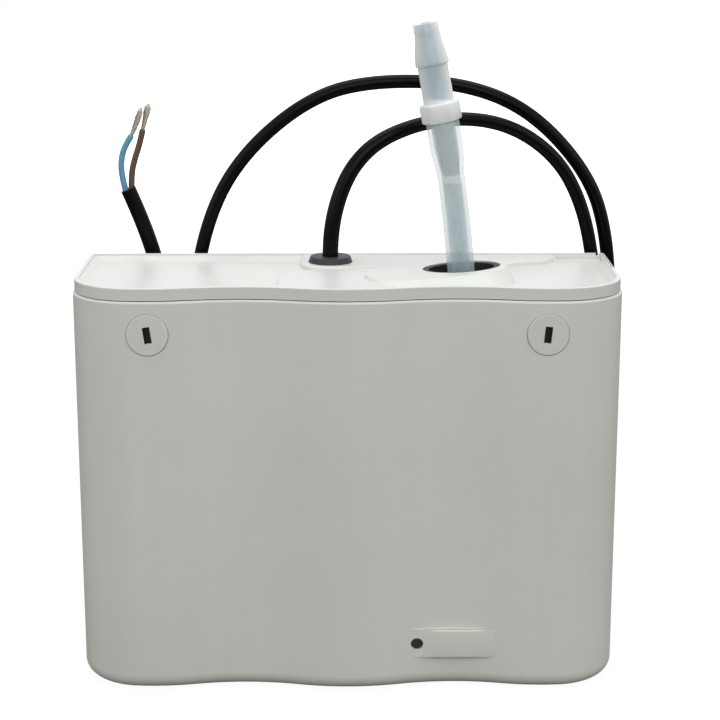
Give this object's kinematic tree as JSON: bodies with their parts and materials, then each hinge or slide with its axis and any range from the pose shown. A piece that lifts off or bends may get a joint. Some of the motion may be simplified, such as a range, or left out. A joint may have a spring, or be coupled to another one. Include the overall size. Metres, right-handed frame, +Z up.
{
  "type": "condensate pump",
  "caption": "Tank-type condensate pump: waved white case, lift-out lid with solenoid pump, float switch, translucent discharge hose with reducer and bare-ended flex.",
  "frame": {"origin": "under the middle of the tank, on the surface that it stands on; measured without the cable, the hose and its fitting", "axes": "+X along the width, to the right seen from the front; +Y towards the flat back; +Z up"},
  "size_m": [0.1865, 0.0793, 0.2191],
  "materials": {
    "case_white": "satin moulded plastic",
    "lid_white": "satin moulded plastic",
    "lock_white": "satin moulded plastic",
    "cam_plastic": "natural nylon",
    "zinc_steel": "zinc-plated",
    "seal_rubber": "matte",
    "grommet_rubber": "matte",
    "collar_rubber": "matte",
    "bracket_plastic": "grey moulded plastic",
    "yoke_steel": "zinc-plated sheet",
    "bobbin_plastic": "glass-filled nylon",
    "winding_copper": "enamelled copper wire under tape",
    "barrel_brass": "drawn tube",
    "nozzle_plastic": "natural acetal",
    "valve_rubber": "silicone",
    "piston_steel": "ground",
    "spring_steel": "stainless wire",
    "mount_rubber": "matte",
    "shield_plastic": "moulded",
    "strainer_plastic": "moulded",
    "tube_silicone": "translucent silicone",
    "float_foam": "closed-cell foam skin",
    "stem_plastic": "moulded",
    "cover_plastic": "moulded",
    "board_green": "solder mask",
    "terminal_plastic": "moulded",
    "capacitor_yellow": "dipped case",
    "chip_black": "moulded",
    "clamp_plastic": "moulded",
    "sheath_black": "semi-gloss cable sheath",
    "core_blue": "insulation",
    "core_brown": "insulation",
    "tinned_copper": "tinned strands",
    "hose_clear": "translucent flexible hose",
    "reducer_clear": "natural translucent moulding"
  },
  "bodies": {
    "tank_body": {"tank": "case_white", "drain_screw": "zinc_steel", "drain_seal": "seal_rubber"},
    "left_lock": {"turn_lock_left": "lock_white", "lock_cam_left": "cam_plastic"},
    "right_lock": {"turn_lock_right": "lock_white", "lock_cam_right": "cam_plastic"},
    "pump_module": {"lid": "lid_white", "lid_skirt": "lid_white", "lid_keeper_left": "lid_white", "lid_keeper_right": "lid_white", "lid_gasket": "seal_rubber", "hose_collar": "collar_rubber", "cable_grommet": "grommet_rubber", "pump_bracket": "bracket_plastic", "bracket_screws": "zinc_steel", "pump_yoke": "yoke_steel", "coil_bobbin": "bobbin_plastic", "coil_winding": "winding_copper", "pump_barrel": "barrel_brass", "outlet_nozzle": "nozzle_plastic", "inlet_nozzle": "nozzle_plastic", "outlet_valve": "valve_rubber", "inlet_valve": "valve_rubber", "return_spring": "spring_steel", "pump_mounts": "mount_rubber", "mount_screws": "zinc_steel", "mount_nuts": "zinc_steel", "drip_shield": "shield_plastic", "suction_strainer": "strainer_plastic", "suction_tube": "tube_silicone", "float_stem": "stem_plastic", "float_clip": "spring_steel", "float_nut": "stem_plastic", "board_cover": "cover_plastic", "cover_screws": "zinc_steel", "circuit_board": "board_green", "terminal_block": "terminal_plastic", "film_capacitor": "capacitor_yellow", "switch_chip": "chip_black", "cord_clamp": "clamp_plastic", "clamp_screws": "zinc_steel", "cable_tail": "sheath_black", "inner_neutral_lead": "core_blue", "inner_live_lead": "core_brown", "coil_leads": "sheath_black", "float_lead": "sheath_black", "mains_cable": "sheath_black", "neutral_core": "core_blue", "live_core": "core_brown", "neutral_strands": "tinned_copper", "live_strands": "tinned_copper", "discharge_hose": "hose_clear", "hose_reducer": "reducer_clear"},
    "float_body": {"float": "float_foam"},
    "piston_body": {"pump_piston": "piston_steel"}
  },
  "joints": [
    {"name": "lid_lift", "type": "slide", "parent": "tank_body", "child": "pump_module", "axis": [0, 0, 1], "range_m": [0, 0.15]},
    {"name": "left_lock_turn", "type": "hinge", "parent": "tank_body", "child": "left_lock", "pos_m": [-0.064, -0.0275, 0.1219], "axis": [0, 1, 0], "range_deg": [0, 90]},
    {"name": "right_lock_turn", "type": "hinge", "parent": "tank_body", "child": "right_lock", "pos_m": [0.064, -0.0275, 0.1219], "axis": [0, 1, 0], "range_deg": [0, 90]},
    {"name": "float_rise", "type": "slide", "parent": "pump_module", "child": "float_body", "axis": [0, 0, 1], "range_m": [0, 0.022]},
    {"name": "piston_stroke", "type": "slide", "parent": "pump_module", "child": "piston_body", "axis": [0, 0, 1], "range_m": [-0.0015, 0.0015], "stiffness_N_per_m": 800, "deforming": ["return_spring"]}
  ]
}
